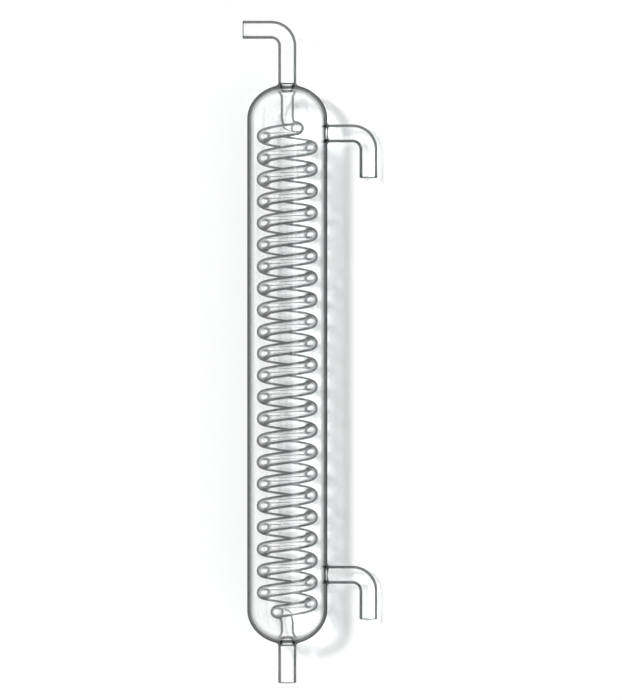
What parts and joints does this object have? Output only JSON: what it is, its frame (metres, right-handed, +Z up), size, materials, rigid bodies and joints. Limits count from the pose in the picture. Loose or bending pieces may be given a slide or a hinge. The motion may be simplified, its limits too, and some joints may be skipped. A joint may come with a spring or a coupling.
{
  "type": "coil condenser",
  "caption": "Laboratory glass condenser: domed tubular water jacket round a coiled inner tube, with a bent top stem, a straight bottom stem and hose side arms on one side.",
  "frame": {"origin": "on the bench surface, under the middle of the bounding box of the condenser as it lies", "axes": "+Y along the condenser's axis from its straight bottom stem to its bent top stem, +Z up from the bench, +X towards the side on which both side arms lie"},
  "size_m": [0.0642, 0.331, 0.04],
  "materials": {
    "borosilicate_glass": "clear, fire-polished"
  },
  "bodies": {
    "root": {"outer_jacket": "borosilicate_glass", "inner_coil": "borosilicate_glass", "end_stems": "borosilicate_glass", "side_arms": "borosilicate_glass"}
  },
  "joints": []
}
